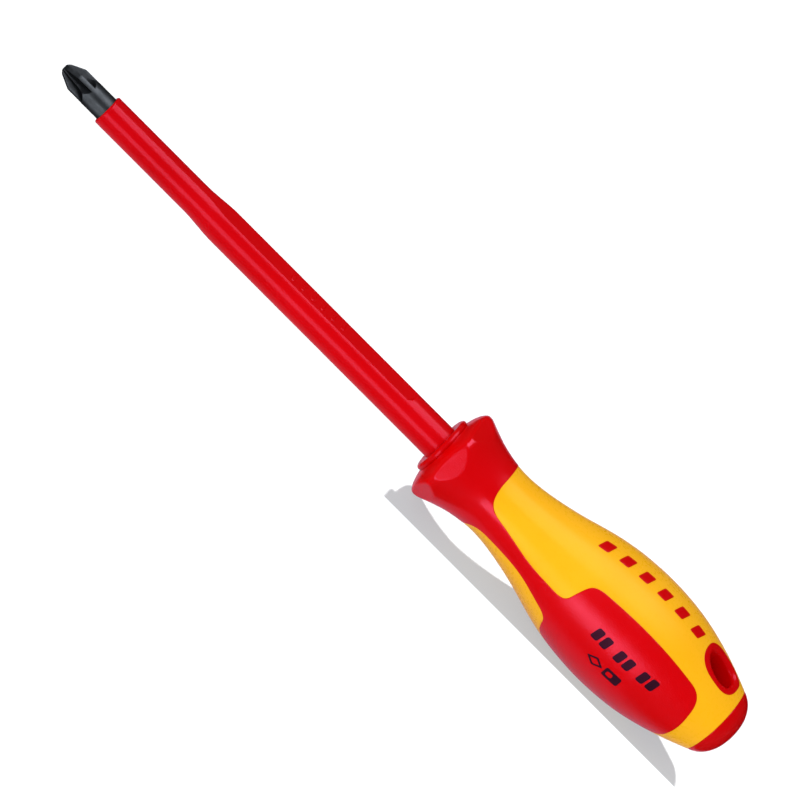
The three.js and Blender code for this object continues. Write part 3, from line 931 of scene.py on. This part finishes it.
def make_liner():
    """The red tube of the hanging hole, whose rim lies in the handle's surface.

    Its far side is the near side turned half a turn round the tool, as the shell's is.
    """
    sections = [(SEAM, -LINER_SKIRT)] + [(distance, -drop) for distance, drop in Panel.LIP]
    outer = oval(BEZEL_HALF, BEZEL_POWERS, 144)
    inner = oval(HOLE_HALF, HOLE_POWERS, 144)
    inward = inner - outer
    width = np.hypot(*inward.T)
    unit = inward / width[:, None]

    def height(plan):
        return np.sqrt(handle_radius(plan[:, 0]) ** 2 - plan[:, 1] ** 2)

    rows = []
    for distance, drop in sections:
        plan = outer + unit * distance
        rows.append(np.column_stack([plan, height(plan) + drop]))
    for a in np.radians(np.linspace(0, 90, 10)):
        plan = outer + unit * (width - BEZEL_ROLL * (1 - math.sin(a)))[:, None]
        lip = outer + unit * (width - BEZEL_ROLL)[:, None]
        rows.append(np.column_stack([plan, height(lip) - BEZEL_ROLL * (1 - math.cos(a))]))
    rows.append(np.column_stack([inner, np.full(len(inner), LINER_CORE)]))
    rows += [np.roll(row[::-1], 1, axis=0) * np.array([1, -1, -1]) for row in reversed(rows)]
    faces = grid_faces(len(rows), len(outer), wrap_rows=True)
    piece = make_piece("hanging_hole_tube", np.vstack(rows) * MM, faces, MATERIALS["hard_red"])
    return finish_piece(piece, "hard_red", "hanging_hole_liner")


# ---- Prints on the pad -----------------------------------------------------------------------------


def print_shape(name, corners, radius, hole=None):
    """One printed mark on the pad, from corners in x and along the girth, with a hole of the same kind."""
    middle = float(np.mean([x for x, _ in corners]))
    panel = Panel(centre=0, spacing=0.6, edge_spacing=0.25, lip=Panel.SQUARE)
    panel.closed(laid_on(corners, radius, middle))
    if hole:
        panel.closed(laid_on(hole, radius, middle), hole=True)
    proud, depth = PAD_PROUD + PRINT_PROUD, PRINT_DEPTH - PAD_PROUD
    piece = panel.solid(name, MATERIALS["print_black"], proud, depth, twins=1)
    finish_piece(piece, "print_black")


def centred(x, y, half_x, half_y, lozenge=False):
    """The corners of a rectangle or a lozenge about a centre, anticlockwise."""
    if lozenge:
        return [(x - half_x, y), (x, y - half_y), (x + half_x, y), (x, y + half_y)]
    signs = ((-1, -1), (1, -1), (1, 1), (-1, 1))
    return [(x + i * half_x, y + j * half_y) for i, j in signs]


def make_prints():
    """Plain printed marks on one pad: three pairs of blocks, and a lozenge and a bar in outline."""
    block = PRINT_BLOCK
    for pair in range(3):
        for half in range(2):
            x = block["first"] + block["pair_pitch"] * pair + block["pitch"] * half
            high = block["low"] + block["height"]
            corners = slanted(x, block["width"], block["slant"], block["low"], high)
            print_shape(f"print_block_{2 * pair + half + 1}", corners, block["corner"])
    lozenge = centred(225.3, PRINT_ICONS, 3.1, 1.8, True)
    print_shape("print_lozenge", lozenge, 0.3, centred(225.3, PRINT_ICONS, 1.9, 1.05, True))
    bar = centred(231.9, PRINT_ICONS, 2.9, 1.7)
    print_shape("print_bar", bar, 0.6, centred(231.0, PRINT_ICONS, 1.1, 0.8))


# ---- Camera, light and floor -----------------------------------------------------------------------

VIEW_ANGLE = 37.5  # the view's angle round the axis, the same measure as a
TILT = 5.5  # how far the camera leans towards the tip
ROLL = 45.06  # the tool's slope in the picture
DISTANCE = 6.0  # metres from the camera to its aim
PICTURE_WIDTH = 0.22755  # metres that fit across the picture at that distance
AIM = (134.77, 0.65)  # millimetres along the tool and across it

LIGHT_TARGET = 170.0  # where along the tool the lamps point
LAMP_DISTANCE = 1.0  # metres from there to each lamp
WORLD_LIGHT = 0.66  # how strongly the studio lights the tool
FLOOR_GLOW = 0.475  # the floor's own brightness, which is what the shadow keeps
SHADOW_LIMIT = -10.1  # millimetres in Y: beyond it the floor glows fully white, painted light that wipes out the sun's shadow
FLOOR_LIGHT = 0.5  # how strongly the floor lights the tool
KEY_STRENGTH = 1.4
FLOOR_SUN_STRENGTH = 20.0
FLOOR_HALF_SIZE = 6.0  # metres
FLOOR_GAP = 0.0001  # metres between the tool's lowest point and the floor


def view_axes():
    """Unit vectors along the tool, across it and towards the camera, before the camera leans."""
    a = math.radians(VIEW_ANGLE)
    return Vector((1, 0, 0)), Vector((0, math.sin(a), math.cos(a))), Vector((0, -math.cos(a), math.sin(a)))


def stand(thing, place, axes):
    """Puts a thing at a place in metres, with its X, Y and Z along the axes."""
    thing.matrix_world = Matrix.Translation(place) @ Matrix(axes).transposed().to_4x4()


def make_camera():
    along, across, out = view_axes()
    lean = math.radians(TILT)
    to_camera = out * math.cos(lean) - along * math.sin(lean)
    leaned = along * math.cos(lean) + out * math.sin(lean)
    roll = math.radians(ROLL)
    right = leaned * math.cos(roll) + across * math.sin(roll)
    up = across * math.cos(roll) - leaned * math.sin(roll)
    aim = (along * AIM[0] + across * AIM[1]) * MM
    data = bpy.data.cameras.new("camera")
    data.lens = data.sensor_width / 2 / (PICTURE_WIDTH / 2 / DISTANCE)
    data.clip_end = 20
    camera = add_object("camera", data)
    stand(camera, aim + to_camera * DISTANCE, (right, up, to_camera))
    bpy.context.scene.camera = camera


def add_light(name, kind, around, lean):
    """A lamp aimed at the handle. around turns it from the view to the far side, lean towards the butt."""
    along, across, out = view_axes()
    turn, tilt = math.radians(around), math.radians(lean)
    level = out * math.cos(turn) + across * math.sin(turn)
    direction = level * math.cos(tilt) + along * math.sin(tilt)
    light = add_object(name, bpy.data.lights.new(name, kind))
    side = (along - direction * along.dot(direction)).normalized()
    target = Vector((LIGHT_TARGET * MM, 0, 0))
    stand(light, target + direction * LAMP_DISTANCE, (side, direction.cross(side), direction))
    return light


def strip_light(name, around, lean, size, power):
    """A long softbox in line with the tool, which shows as a band of gloss."""
    light = add_light(name, "AREA", around, lean)
    light.data.shape = "RECTANGLE"
    light.data.size, light.data.size_y = size
    light.data.energy = power
    light.visible_diffuse = False
    return light


def make_lights(floor):
    """Strips for the gloss, a soft key for the body colours and a sun that shades the floor only."""
    front = strip_light("front_strip", around=-31, lean=-5.0, size=(0.96, 0.42), power=4.9)
    strip_light("top_strip", around=55, lean=-7.5, size=(0.88, 0.8), power=11.0)
    low = strip_light("low_strip", around=-146, lean=3, size=(0.95, 3.3), power=5.3)
    low.data.color = (1.0, 0.55, 0.75)
    blade_low = strip_light("blade_strip", around=-70, lean=-7.5, size=(0.88, 0.6), power=4.5)
    key = add_light("key", "SUN", around=18, lean=-25)
    key.data.angle = math.radians(40)
    key.data.energy = KEY_STRENGTH
    key.visible_glossy = False
    sun = add_light("floor_sun", "SUN", around=94, lean=0)
    sun.data.angle = math.radians(2.5)
    sun.data.energy = FLOOR_SUN_STRENGTH
    pieces = [piece for piece in bpy.context.scene.objects if piece.type == "MESH" and piece != floor]
    blade = [piece for piece in pieces if piece.name == "screwdriver_blade"]
    link_light(sun, [floor])
    link_light(front, pieces, pieces)
    link_light(low, [piece for piece in pieces if piece not in blade], pieces)
    link_light(blade_low, blade, pieces)


def collect(name, pieces):
    collection = bpy.data.collections.new(name)
    for piece in pieces:
        collection.objects.link(piece)
    return collection


def link_light(light, receivers, blockers=None):
    """Lights only the receivers. Given blockers, nothing else shades it, so it can stand below the floor."""
    light.light_linking.receiver_collection = collect(light.name + "_lit", receivers)
    if blockers:
        light.light_linking.blocker_collection = collect(light.name + "_shading", blockers)


def choose(tree, factor, when_off, when_on):
    """One number or another, by a factor of 0 or 1. Either can be a node's output."""
    mix = tree.nodes.new("ShaderNodeMix")
    for socket, value in (("A", when_off), ("B", when_on)):
        if isinstance(value, float):
            mix.inputs[socket].default_value = value
        else:
            tree.links.new(value, mix.inputs[socket])
    tree.links.new(factor, mix.inputs["Factor"])
    return mix.outputs["Result"]


def seen_or_cast(tree, seen, cast):
    """One strength where the camera looks straight at it, and another for the light it gives."""
    path = tree.nodes.new("ShaderNodeLightPath")
    return choose(tree, path.outputs["Is Camera Ray"], cast, seen)


def make_world():
    """An even white studio that gives soft light and no gloss: the gloss comes from the strips."""
    world = bpy.data.worlds.new("studio")
    world.use_nodes = True
    tree = world.node_tree
    background = tree.nodes["Background"]
    background.inputs["Color"].default_value = (1, 1, 1, 1)
    tree.links.new(seen_or_cast(tree, 1.0, WORLD_LIGHT), background.inputs["Strength"])
    world.cycles_visibility.glossy = False
    bpy.context.scene.world = world


def make_floor():
    """A wide pale floor that the handle's widest part rests on. Beyond a line in Y it glows white, painted
    light that cuts the sun's shadow off.
    """
    level = float(CAD_BOX[0][2]) - FLOOR_GAP
    mesh = bpy.data.meshes.new("studio_floor")
    corners = [(x, y, level) for x, y in centred(0, 0, FLOOR_HALF_SIZE, FLOOR_HALF_SIZE)]
    mesh.from_pydata(corners, [], [(0, 1, 2, 3)])
    material, tree, shader = new_material("pale_floor")
    tree.links.new(ramp(tree, noise(tree, 3), grey(0.12), grey(0.13)), shader.inputs["Base Color"])
    shader.inputs["Roughness"].default_value = 1.0
    shader.inputs["Specular IOR Level"].default_value = 0.0
    shader.inputs["Emission Color"].default_value = (0.97, 1, 1.04, 1)
    # painted light: beyond the limit the floor glows fully white for the camera, so the shadow stops there
    painted_light_beyond = tree.nodes.new("ShaderNodeMath")
    painted_light_beyond.operation = "LESS_THAN"
    painted_light_beyond.inputs[1].default_value = SHADOW_LIMIT * MM
    tree.links.new(own_place(tree, "Y"), painted_light_beyond.inputs[0])
    seen = choose(tree, painted_light_beyond.outputs["Value"], FLOOR_GLOW, 1.0)
    tree.links.new(seen_or_cast(tree, seen, FLOOR_LIGHT), shader.inputs["Emission Strength"])
    material.cycles.emission_sampling = "NONE"
    mesh.materials.append(material)
    floor = add_object("studio_floor", mesh)
    floor.visible_glossy = False
    return floor


make_camera()
make_world()
floor = make_floor()
make_blade()
make_sleeve()
make_core()
make_shell()
make_grip()
make_inlays()
make_end_cap()
make_liner()
make_prints()
make_lights(floor)

bpy.context.scene.view_settings.view_transform = "Standard"
